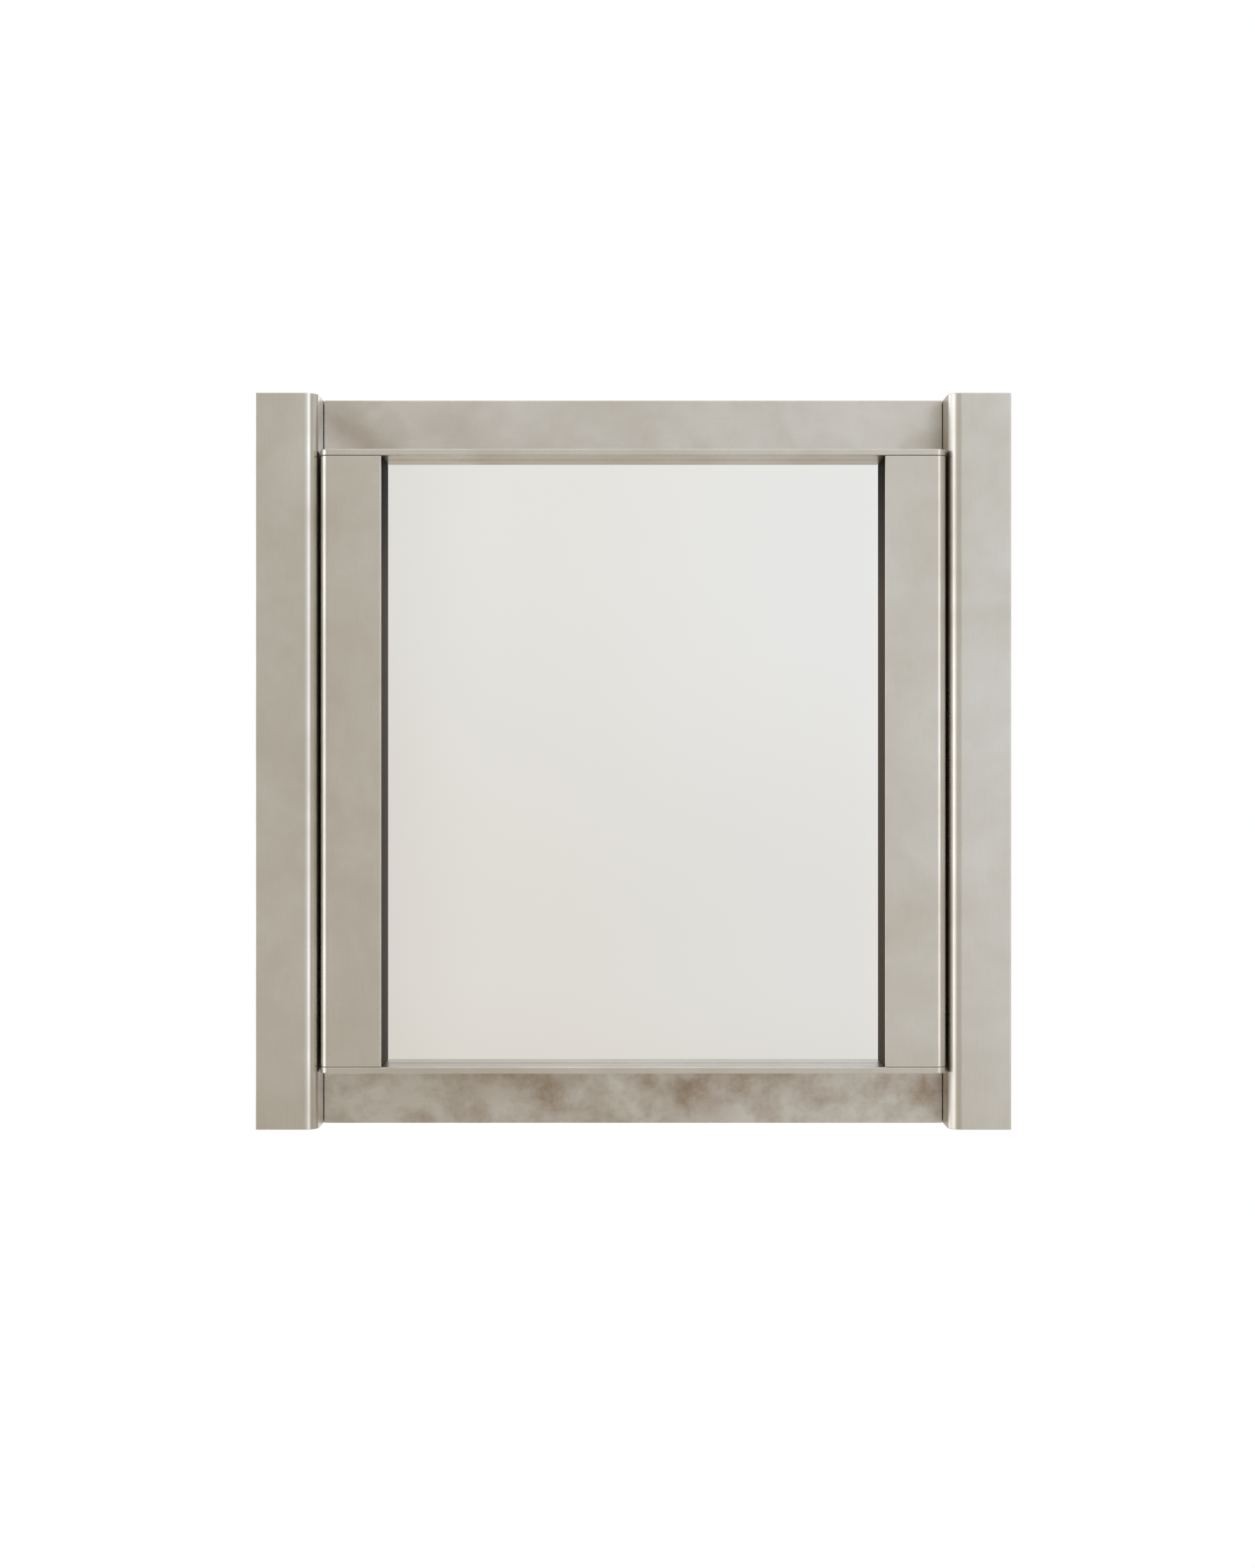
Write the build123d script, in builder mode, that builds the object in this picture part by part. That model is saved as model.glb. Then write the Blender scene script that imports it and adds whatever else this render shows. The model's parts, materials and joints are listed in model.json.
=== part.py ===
from build123d import *
import os

# Mirrored wall cabinet: two hollow metal posts, set-back rails, and a thick framed mirror door
# that turns on two hidden pins at its left edge and is held by a push latch.
# Units are millimetres. X points right, Y points to the wall and Z points up.
# The origin is on the wall plane, at the centre of the four wall screw holes.

# Cabinet sizes
cabinet_width = 820.0
cabinet_height = 800.0
cabinet_depth = 150.0
sheet = 2.0
post_face_width = 67.5
post_edge_radius = 14.0
post_corner_radius = 1.5
post_end_radius = 0.8
rail_setback = 48.0
rail_reveal = 61.0
rail_overlap = 24.0
rail_lip_depth = 25.0
rail_bend_radius = 1.0
rail_end_gap = 0.8
panel_flange_height = 15.0
panel_flange_margin = 4.0
panel_front_gap = 0.5
panel_screw_margin = 17.0
back_flange_depth = 12.0

# Door sizes
door_gap = 2.0
stile_face_width = 67.0
door_edge_radius = 10.0
stile_inner_edge_radius = 1.4
plate_thickness = 7.0
plate_edge_radius = 1.0
mirror_recess = 36.0
mirror_thickness = 5.0
mirror_edge_gap = 0.1
tape_thickness = 2.0
tape_width = 30.0
tape_end_margin = 30.0
tape_count = 4
door_back_sheet = 2.0
door_back_inset = 1.0
door_back_screw_margin = 40.0
door_back_screw_spacing = 200.0
plate_screw_spacing = 33.0

# Stile end plugs
plug_height = 15.0
plug_flange = 0.5
plug_flange_inset = 1.0

# Wall fixing
wall_hole_radius = 3.5
wall_hole_margin = 120.0
wall_bar_height = 40.0
wall_bar_thickness = 3.0
rivet_radius = 2.0
rivet_head_radius = 4.0
rivet_head_height = 1.2
rivet_head_rounding = 0.6
rivet_spacing = 150.0
rivets_per_bar = 4

# Rail brackets
bracket_thickness = 3.0
bracket_leg = 22.0
bracket_height = 50.0
bracket_screw_spacing = 28.0
bracket_screw_reach = 13.0

# Shelves
shelf_thickness = 6.0
shelf_edge_radius = 1.0
shelf_side_gap = 1.0
shelf_back_gap = 1.0
shelf_front_setback = 4.0
shelf_spacing = 220.0
shelf_pin_radius = 2.5
shelf_pin_reach = 10.0
shelf_pin_collar_radius = 4.0
shelf_pin_inset = 16.0
shelf_hole_pitch = 32.0

# Hinges
hinge_from_door_end = 99.0
pin_radius = 3.0
pin_chamfer = 0.5
pin_clearance = 0.05
arm_width = 6.0
arm_height = 14.0
arm_eye_radius = 6.0
arm_neck_offset = 9.0
arm_neck_rise = 11.0
arm_stand_off = 10.0
arm_bend_radius = 6.0
arm_base_thickness = 3.0
arm_base_size = 44.0
arm_screw_spacing = 26.0
arm_screw_shift = 8.5
arm_clearance = 1.5
arm_side_clearance = 3.0
washer_thickness = 0.6
washer_running_gap = 0.3
block_lug_height = 14.1
block_width = 48.0
block_web_width = 20.0
block_screw_edge = 10.0
block_screw_hole_depth = 12.0

# Push latch
latch_from_end = 45.0
latch_below_lip = 1.0
latch_body_size = 15.0
latch_body_length = 47.0
latch_flange_width = 40.0
latch_flange_thickness = 3.0
latch_end_wall = 2.0
latch_end_chamfer = 1.0
latch_travel = 3.0
latch_screw_spacing = 28.0
plunger_radius = 4.0
plunger_clearance = 0.1
plunger_collar_radius = 5.4
plunger_collar_length = 2.0
plunger_collar_clearance = 0.2
plunger_strike_gap = 0.3
magnet_radius = 3.0
magnet_thickness = 2.0
rail_hole_clearance = 0.5
spring_length = 8.0
spring_radius = 4.2
spring_wire_radius = 0.5
spring_turns = 4
spring_end_gap = 0.1
strike_radius = 6.0
strike_thickness = 1.0

# Door bumpers
bumper_radius = 4.0
bumper_edge_radius = 1.0
bumper_gap = 0.3
bumper_inner_x = 200.0
bumper_side_margin = 12.0
bumper_from_door_end = 13.0

# Screws: shank radius and head radius of a flat head whose sides slope at 45 degrees
m3_radius, m3_head_radius = 1.5, 3.0
m4_radius, m4_head_radius = 2.0, 4.0
m5_radius, m5_head_radius = 2.5, 5.0
screw_clearance = 0.2
screw_grip = 6.0
screw_socket_share = 0.75

# Places that follow from the sizes
front_y = -cabinet_depth
top_z = cabinet_height / 2
rail_height = rail_reveal + rail_overlap
door_height = cabinet_height - 2 * rail_reveal
hinge_spacing = door_height - 2 * hinge_from_door_end
wall_hole_spacing_x = cabinet_width - 2 * wall_hole_margin
wall_hole_spacing_z = cabinet_height - 2 * wall_hole_margin
return_x = cabinet_width / 2 - post_face_width
rail_y = front_y + rail_setback
rail_inside_y = rail_y + sheet
rail_lip_z = top_z - rail_height
panel_front_y = rail_y + max(sheet, rail_bend_radius) + panel_front_gap
rail_centre_z = top_z - rail_height / 2
panel_z = top_z - sheet
stile_depth = mirror_recess + mirror_thickness + tape_thickness
door_thickness = stile_depth + door_back_sheet
door_half = return_x - door_gap
door_top_z = door_height / 2
plate_z = door_top_z - plate_thickness
stile_end_z = plate_z - plug_flange
stile_x = door_half - stile_face_width / 2
stile_y = front_y + stile_depth / 2
stile_back_y = front_y + stile_depth
door_back_y = front_y + door_thickness
mirror_half = door_half - stile_face_width
mirror_y = front_y + mirror_recess
pin_x = -door_half + door_edge_radius
pin_y = front_y + door_edge_radius
lug_z = arm_height / 2 + washer_running_gap + washer_thickness

os.makedirs("parts", exist_ok=True)

sides = ((-1, "left"), (1, "right"))
ends = ((1, "top"), (-1, "bottom"))
hinges = ((1, "upper"), (-1, "lower"))


def flat_head_screw(radius, head_radius, length):
    """A flat head screw whose head lies in the plane Z = 0 and whose shank points down."""
    head_height = head_radius - radius
    socket_radius = radius * screw_socket_share
    with BuildPart() as screw:
        with BuildSketch(Plane.XZ):
            with BuildLine():
                Polyline(
                    (0, 0), (head_radius, 0), (radius, -head_height),
                    (radius, -length), (0, -length), close=True,
                )
            make_face()
        revolve(axis=Axis.Z)
        with BuildSketch(Plane.XY):
            RegularPolygon(socket_radius, 6)
        extrude(amount=-head_height, mode=Mode.SUBTRACT)
    return screw.part


def facing(x, y, z, direction):
    """A plane at a point whose normal is the direction, where a screw head or hole starts."""
    return Plane(origin=(x, y, z), z_dir=direction)


# Hidden places shared by the pieces and their screws

hinge_levels = [level * hinge_spacing / 2 for level, _ in hinges]
shelf_levels = [level * shelf_spacing / 2 for level in (-1, 1)]
arm_turn_y = rail_y + arm_stand_off
arm_base_y = arm_turn_y - arm_width / 2 + arm_base_size / 2
arm_screws_at = [
    facing(-return_x + arm_base_thickness, arm_base_y + arm_screw_shift, level + step, (1, 0, 0))
    for level in hinge_levels
    for step in (-arm_screw_spacing / 2, arm_screw_spacing / 2)
]
bracket_screws_at = [
    facing(
        side * (return_x - bracket_thickness),
        rail_inside_y + bracket_screw_reach,
        end * rail_centre_z + step,
        (-side, 0, 0),
    )
    for side, _ in sides
    for end, _ in ends
    for step in (-bracket_screw_spacing / 2, bracket_screw_spacing / 2)
]
panel_flange_length = cabinet_depth - rail_setback - rail_lip_depth - 2 * panel_flange_margin
panel_flange_y = -panel_flange_margin - panel_flange_length / 2
panel_screw_step = panel_flange_length / 2 - panel_screw_margin
panel_screws_at = [
    facing(
        side * (return_x - sheet),
        panel_flange_y + step,
        end * (panel_z - panel_flange_height / 2 - sheet / 2),
        (-side, 0, 0),
    )
    for side, _ in sides
    for end, _ in ends
    for step in (-panel_screw_step, panel_screw_step)
]
back_screws_at = [
    facing(side * (return_x - sheet), -sheet - back_flange_depth / 2, level, (-side, 0, 0))
    for side, _ in sides
    for level in (-shelf_spacing, 0, shelf_spacing)
]
shelf_rows_y = (
    rail_y + shelf_front_setback + shelf_pin_inset,
    -sheet - back_flange_depth - shelf_back_gap - shelf_pin_inset,
)
pin_seats_z = [level - shelf_thickness / 2 - shelf_pin_radius for level in shelf_levels]
latch_x = return_x - latch_from_end
latch_z = -(rail_lip_z + sheet + latch_below_lip + latch_body_size / 2)
latch_axis_at = facing(latch_x, rail_y, latch_z, (0, -1, 0))
latch_screws_at = [
    facing(latch_x + step, rail_y, latch_z, (0, -1, 0))
    for step in (-latch_screw_spacing / 2, latch_screw_spacing / 2)
]
plate_screws_at = [
    facing(side * stile_x + step, stile_y, end * door_top_z, (0, 0, end))
    for side, _ in sides
    for end, _ in ends
    for step in (-plate_screw_spacing / 2, plate_screw_spacing / 2)
]
block_left_x = -door_half + sheet
block_screws_at = [
    facing(block_left_x + block_width - block_screw_edge, door_back_y, level + step, (0, 1, 0))
    for level in hinge_levels
    for step in (-lug_z - block_lug_height / 2, lug_z + block_lug_height / 2)
]
door_back_screws_at = [
    facing(side * stile_x, door_back_y, end * level, (0, 1, 0))
    for side, _ in sides
    for end, _ in ends
    for level in (door_back_screw_spacing / 2, door_top_z - door_back_screw_margin)
]

# Posts: folded hollow sections, with a large rounding on the edge beside the door

for side, side_name in sides:
    with BuildPart() as post:
        with BuildSketch(Plane.XY.offset(-top_z)) as outline:
            with Locations((side * (return_x + post_face_width / 2), front_y / 2)):
                Rectangle(post_face_width, cabinet_depth)
            front_corners = outline.vertices().group_by(Axis.Y)[0].sort_by(lambda v: abs(v.X))
            fillet(front_corners[0], post_edge_radius)
            front_corners = outline.vertices().group_by(Axis.Y)[0].sort_by(lambda v: abs(v.X))
            fillet(front_corners[-1], post_corner_radius)
            offset(amount=-sheet, mode=Mode.SUBTRACT)
        extrude(amount=cabinet_height)
        end_faces = post.faces().sort_by(Axis.Z)
        fillet(end_faces[0].outer_wire().edges() + end_faces[-1].outer_wire().edges(), post_end_radius)
        for seat_z in pin_seats_z:
            for row_y in shelf_rows_y:
                for step in (-shelf_hole_pitch, 0, shelf_hole_pitch):
                    with Locations(facing(side * return_x, row_y, seat_z + step, (-side, 0, 0))):
                        Hole(shelf_pin_radius, depth=sheet)
        for places, radius in (
            (bracket_screws_at + arm_screws_at, m5_radius),
            (panel_screws_at + back_screws_at, m4_radius),
        ):
            for place in places:
                if place.origin.X * side > 0:
                    hole_at = facing(side * return_x, place.origin.Y, place.origin.Z, (-side, 0, 0))
                    with Locations(hole_at):
                        Hole(radius, depth=sheet)
    post.part.label = f"{side_name}_post"
    export_step(post.part, f"parts/{post.part.label}.step")

    for end, end_name in ends:
        with BuildPart() as cap:
            with BuildSketch(Plane.XY.offset(end * top_z)) as outline:
                with Locations((side * (return_x + post_face_width / 2), front_y / 2)):
                    Rectangle(post_face_width - 2 * sheet, cabinet_depth - 2 * sheet)
                front_corners = outline.vertices().group_by(Axis.Y)[0].sort_by(lambda v: abs(v.X))
                fillet(front_corners[0], post_edge_radius - sheet)
            extrude(amount=-end * sheet)
        cap.part.label = f"{side_name}_post_{end_name}_cap"
        export_step(cap.part, f"parts/{cap.part.label}.step")

# Rails: folded channels, open at the back, a shadow gap short of each post.
# The top and bottom panels lie against the rails' lips and close the cabinet.

for end, end_name in ends:
    with BuildPart() as rail:
        with BuildSketch(Plane.YZ) as outline:
            with Locations((rail_y + rail_lip_depth / 2, end * rail_centre_z)):
                Rectangle(rail_lip_depth, rail_height)
            fillet(outline.vertices().group_by(Axis.X)[0], rail_bend_radius)
            offset(amount=-sheet, mode=Mode.SUBTRACT)
            with Locations((rail_y + rail_lip_depth - sheet / 2, end * rail_centre_z)):
                Rectangle(sheet, rail_height - 2 * sheet, mode=Mode.SUBTRACT)
        extrude(amount=return_x - rail_end_gap, both=True)
        if end_name == "bottom":
            with Locations(latch_axis_at):
                Hole(plunger_radius + rail_hole_clearance, depth=sheet)
            with Locations(*latch_screws_at):
                CounterSinkHole(m3_radius + screw_clearance, m3_head_radius, depth=sheet)
    rail.part.label = f"{end_name}_rail"
    export_step(rail.part, f"parts/{rail.part.label}.step")

    with BuildPart() as panel:
        with Locations((0, panel_front_y / 2, end * (panel_z - sheet / 2))):
            Box(2 * return_x, -panel_front_y, sheet)
        for side, _ in sides:
            flange_x = side * (return_x - sheet / 2)
            flange_z = end * (panel_z - panel_flange_height / 2)
            with Locations((flange_x, panel_flange_y, flange_z)):
                Box(sheet, panel_flange_length, panel_flange_height)
        for place in panel_screws_at:
            if place.origin.Z * end > 0:
                with Locations(place):
                    CounterSinkHole(m4_radius, m4_head_radius, depth=sheet)
    panel.part.label = f"{end_name}_panel"
    export_step(panel.part, f"parts/{panel.part.label}.step")

    for side, side_name in sides:
        with BuildPart() as bracket:
            with BuildSketch(Plane.XY.offset(end * rail_centre_z - bracket_height / 2)):
                with BuildLine():
                    corner_x = side * return_x
                    Polyline(
                        (corner_x, rail_inside_y),
                        (corner_x - side * bracket_leg, rail_inside_y),
                        (corner_x - side * bracket_leg, rail_inside_y + bracket_thickness),
                        (corner_x - side * bracket_thickness, rail_inside_y + bracket_thickness),
                        (corner_x - side * bracket_thickness, rail_inside_y + bracket_leg),
                        (corner_x, rail_inside_y + bracket_leg),
                        close=True,
                    )
                make_face()
            extrude(amount=bracket_height)
            for place in bracket_screws_at:
                if place.origin.Z * end > 0 and place.origin.X * side > 0:
                    with Locations(place):
                        CounterSinkHole(m5_radius + screw_clearance, m5_head_radius, depth=bracket_thickness)
        bracket.part.label = f"{end_name}_{side_name}_rail_bracket"
        export_step(bracket.part, f"parts/{bracket.part.label}.step")

# Back panel: a sheet between the top and bottom panels, folded forward at both sides

back_height = 2 * (panel_z - sheet)
wall_holes_at = [
    facing(x * wall_hole_spacing_x / 2, 0, z * wall_hole_spacing_z / 2, (0, 1, 0))
    for x in (-1, 1)
    for z in (-1, 1)
]
bar_front_y = -sheet - wall_bar_thickness
rivets_at = [
    facing(
        (number - (rivets_per_bar - 1) / 2) * rivet_spacing,
        bar_front_y,
        level * wall_hole_spacing_z / 2,
        (0, -1, 0),
    )
    for level in (-1, 1)
    for number in range(rivets_per_bar)
]

with BuildPart() as back_panel:
    with Locations((0, -sheet / 2, 0)):
        Box(2 * return_x, sheet, back_height)
    for side, _ in sides:
        with Locations((side * (return_x - sheet / 2), -sheet - back_flange_depth / 2, 0)):
            Box(sheet, back_flange_depth, 2 * (panel_z - panel_flange_height - panel_flange_margin))
    with Locations(*wall_holes_at):
        Hole(wall_hole_radius, depth=sheet)
    with Locations(*rivets_at):
        Hole(rivet_radius, depth=wall_bar_thickness + sheet)
    for place in back_screws_at:
        with Locations(place):
            CounterSinkHole(m4_radius, m4_head_radius, depth=sheet)
back_panel.part.label = "back_panel"
export_step(back_panel.part, "parts/back_panel.step")

# Wall bars: flat bars that stiffen the back panel behind the wall screws

for level, level_name in hinges:
    bar_z = level * wall_hole_spacing_z / 2
    with BuildPart() as bar:
        with Locations((0, -sheet - wall_bar_thickness / 2, bar_z)):
            Box(2 * (return_x - sheet), wall_bar_thickness, wall_bar_height)
        with Locations(*[place for place in wall_holes_at if place.origin.Z * level > 0]):
            Hole(wall_hole_radius, depth=wall_bar_thickness + sheet)
        with Locations(*[place for place in rivets_at if place.origin.Z * level > 0]):
            Hole(rivet_radius, depth=wall_bar_thickness)
    bar.part.label = f"{level_name}_wall_bar"
    export_step(bar.part, f"parts/{bar.part.label}.step")

with BuildPart() as wall_bar_rivets:
    for place in rivets_at:
        with BuildSketch(place):
            Circle(rivet_head_radius)
        extrude(amount=rivet_head_height)
        with BuildSketch(place):
            Circle(rivet_radius)
        extrude(amount=-(wall_bar_thickness + sheet))
    rivet_rims = wall_bar_rivets.edges().filter_by(GeomType.CIRCLE).group_by(Axis.Y)[0]
    fillet(rivet_rims, rivet_head_rounding)
wall_bar_rivets.part.label = "wall_bar_rivets"
export_step(wall_bar_rivets.part, "parts/wall_bar_rivets.step")

# Glass shelves on pins that stand in rows of holes in the posts

shelf_front_y = rail_y + shelf_front_setback
shelf_depth = -sheet - back_flange_depth - shelf_back_gap - shelf_front_y

for level, level_name in zip(shelf_levels, ("lower", "upper")):
    with BuildPart() as shelf:
        with Locations((0, shelf_front_y + shelf_depth / 2, level)):
            Box(2 * (return_x - shelf_side_gap), shelf_depth, shelf_thickness)
        fillet(shelf.edges().filter_by(Axis.X), shelf_edge_radius)
    shelf.part.label = f"{level_name}_shelf"
    export_step(shelf.part, f"parts/{shelf.part.label}.step")

with BuildPart() as shelf_pins:
    for side, _ in sides:
        for seat_z in pin_seats_z:
            for row_y in shelf_rows_y:
                with BuildSketch(facing(side * (return_x + sheet), row_y, seat_z, (-side, 0, 0))):
                    Circle(shelf_pin_radius)
                extrude(amount=sheet + shelf_pin_reach)
                with BuildSketch(facing(side * return_x, row_y, seat_z, (-side, 0, 0))):
                    Circle(shelf_pin_collar_radius)
                extrude(amount=shelf_side_gap)
shelf_pins.part.label = "shelf_pins"
export_step(shelf_pins.part, "parts/shelf_pins.step")

# Hinges: an arm on the left post reaches into the door and carries it on a pin

for (_, level_name), level in zip(hinges, hinge_levels):
    with BuildPart() as arm:
        with BuildSketch(Plane.XY.offset(level - arm_height / 2)):
            with BuildLine():
                FilletPolyline(
                    (pin_x, pin_y),
                    (pin_x + arm_neck_offset, pin_y + arm_neck_rise),
                    (pin_x + arm_neck_offset, arm_turn_y),
                    (-return_x + arm_base_thickness / 2, arm_turn_y),
                    radius=arm_bend_radius,
                )
            trace(line_width=arm_width)
            with Locations((pin_x, pin_y)):
                Circle(arm_eye_radius)
                Circle(pin_radius + pin_clearance, mode=Mode.SUBTRACT)
        extrude(amount=arm_height)
        with Locations((-return_x + arm_base_thickness / 2, arm_base_y, level)):
            Box(arm_base_thickness, arm_base_size, arm_base_size)
        for place in arm_screws_at:
            if place.origin.Z * level > 0:
                with Locations(place):
                    CounterSinkHole(m5_radius + screw_clearance, m5_head_radius, depth=arm_base_thickness)
    arm.part.label = f"{level_name}_hinge_arm"
    export_step(arm.part, f"parts/{arm.part.label}.step")

    with BuildPart() as block:
        with BuildSketch(Plane.XY.offset(level - lug_z - block_lug_height)) as outline:
            with Locations((block_left_x + block_width / 2, stile_y)):
                Rectangle(block_width, stile_depth - 2 * sheet)
            front_left = outline.vertices().group_by(Axis.Y)[0].sort_by(Axis.X)[0]
            fillet(front_left, door_edge_radius - sheet)
        extrude(amount=2 * (lug_z + block_lug_height))
        slot_width = block_width - block_web_width
        with Locations((block_left_x + slot_width / 2, stile_y, level)):
            Box(slot_width, stile_depth, 2 * lug_z, mode=Mode.SUBTRACT)
        with Locations((pin_x, pin_y, level)):
            Cylinder(pin_radius, 2 * (lug_z + block_lug_height), mode=Mode.SUBTRACT)
        for place in block_screws_at:
            if place.origin.Z * level > 0:
                hole_at = facing(place.origin.X, stile_back_y - sheet, place.origin.Z, (0, 1, 0))
                with Locations(hole_at):
                    Hole(m4_radius, depth=block_screw_hole_depth)
    block.part.label = f"{level_name}_hinge_block"
    export_step(block.part, f"parts/{block.part.label}.step")

    with BuildPart() as pin:
        with Locations((pin_x, pin_y, level)):
            Cylinder(pin_radius, 2 * (lug_z + block_lug_height))
        chamfer(pin.edges().filter_by(GeomType.CIRCLE), pin_chamfer)
    pin.part.label = f"{level_name}_hinge_pin"
    export_step(pin.part, f"parts/{pin.part.label}.step")

with BuildPart() as hinge_washers:
    for level in hinge_levels:
        for start_z in (level - lug_z, level + lug_z - washer_thickness):
            with BuildSketch(Plane.XY.offset(start_z)):
                with Locations((pin_x, pin_y)):
                    Circle(arm_eye_radius)
                    Circle(pin_radius, mode=Mode.SUBTRACT)
            extrude(amount=washer_thickness)
hinge_washers.part.label = "hinge_washers"
export_step(hinge_washers.part, "parts/hinge_washers.step")

# Push latch behind the bottom rail: housing, plunger, magnet and spring

chamber_start_y = rail_inside_y + latch_flange_thickness
chamber_end_y = rail_inside_y + latch_flange_thickness + latch_body_length - latch_end_wall
collar_back_y = chamber_end_y - spring_length
strike_face_y = door_back_y + strike_thickness
tip_y = strike_face_y + plunger_strike_gap

with BuildPart() as latch_housing:
    with Locations((latch_x, rail_inside_y + latch_flange_thickness / 2, latch_z)):
        Box(latch_flange_width, latch_flange_thickness, latch_body_size)
    with Locations((latch_x, chamber_start_y + latch_body_length / 2, latch_z)):
        Box(latch_body_size, latch_body_length, latch_body_size)
    chamfer(latch_housing.edges().group_by(Axis.Y)[-1], latch_end_chamfer)
    with BuildSketch(facing(latch_x, rail_inside_y, latch_z, (0, 1, 0))):
        Circle(plunger_radius + plunger_clearance)
    extrude(amount=latch_flange_thickness, mode=Mode.SUBTRACT)
    with BuildSketch(facing(latch_x, chamber_start_y, latch_z, (0, 1, 0))):
        Circle(plunger_collar_radius + plunger_collar_clearance)
    extrude(amount=chamber_end_y - chamber_start_y, mode=Mode.SUBTRACT)
    for place in latch_screws_at:
        with Locations(facing(place.origin.X, rail_inside_y, place.origin.Z, (0, -1, 0))):
            Hole(m3_radius, depth=latch_flange_thickness)
latch_housing.part.label = "latch_housing"
export_step(latch_housing.part, "parts/latch_housing.step")

with BuildPart() as latch_plunger:
    with BuildSketch(facing(latch_x, tip_y, latch_z, (0, 1, 0))):
        Circle(plunger_radius)
    extrude(amount=collar_back_y - tip_y)
    with BuildSketch(facing(latch_x, tip_y, latch_z, (0, 1, 0))):
        Circle(magnet_radius)
    extrude(amount=magnet_thickness, mode=Mode.SUBTRACT)
    with BuildSketch(facing(latch_x, collar_back_y, latch_z, (0, -1, 0))):
        Circle(plunger_collar_radius)
    extrude(amount=plunger_collar_length)
latch_plunger.part.label = "latch_plunger"
export_step(latch_plunger.part, "parts/latch_plunger.step")

with BuildPart() as latch_magnet:
    with BuildSketch(facing(latch_x, tip_y, latch_z, (0, 1, 0))):
        Circle(magnet_radius)
    extrude(amount=magnet_thickness)
latch_magnet.part.label = "latch_magnet"
export_step(latch_magnet.part, "parts/latch_magnet.step")

spring_rise = spring_length - 2 * (spring_wire_radius + spring_end_gap)
spring_pitch = spring_rise / spring_turns
spring_self_gap = spring_pitch - 2 * spring_wire_radius
print(f"latch spring: least gap between its turns is {spring_self_gap:.2f} mm")

spring_start = (latch_x, collar_back_y + spring_wire_radius + spring_end_gap, latch_z)
with BuildPart() as latch_spring:
    with BuildLine() as coil:
        Helix(spring_pitch, spring_rise, spring_radius, center=spring_start, direction=(0, 1, 0))
    with BuildSketch(Plane(origin=coil.line @ 0, z_dir=coil.line % 0)):
        Circle(spring_wire_radius)
    sweep()
latch_spring.part.label = "latch_spring"
export_step(latch_spring.part, "parts/latch_spring.step")

with BuildPart() as strike_disc:
    with BuildSketch(facing(latch_x, door_back_y, latch_z, (0, 1, 0))):
        Circle(strike_radius)
    extrude(amount=strike_thickness)
strike_disc.part.label = "strike_disc"
export_step(strike_disc.part, "parts/strike_disc.step")

# Door bumpers stuck to the rails behind the free side of the door

bumper_length = rail_y - door_back_y - bumper_gap

with BuildPart() as door_bumpers:
    for end, _ in ends:
        for x in (-bumper_inner_x, door_half - bumper_side_margin):
            with BuildSketch(facing(x, rail_y, end * (door_top_z - bumper_from_door_end), (0, -1, 0))):
                Circle(bumper_radius)
            extrude(amount=bumper_length)
    bumper_rims = door_bumpers.edges().filter_by(GeomType.CIRCLE).group_by(Axis.Y)[0]
    fillet(bumper_rims, bumper_edge_radius)
door_bumpers.part.label = "door_bumpers"
export_step(door_bumpers.part, "parts/door_bumpers.step")

# Door stiles: folded sections closed on the mirror side by a dark channel

notch_right_x = pin_x + arm_neck_offset + arm_width / 2 + arm_side_clearance
notch_left_x = -door_half - door_gap / 2
notch_height = arm_height + 2 * arm_clearance
notch_centre_x = (notch_left_x + notch_right_x) / 2
notch_width = notch_right_x - notch_left_x
notch_depth = door_back_y - pin_y

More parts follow.
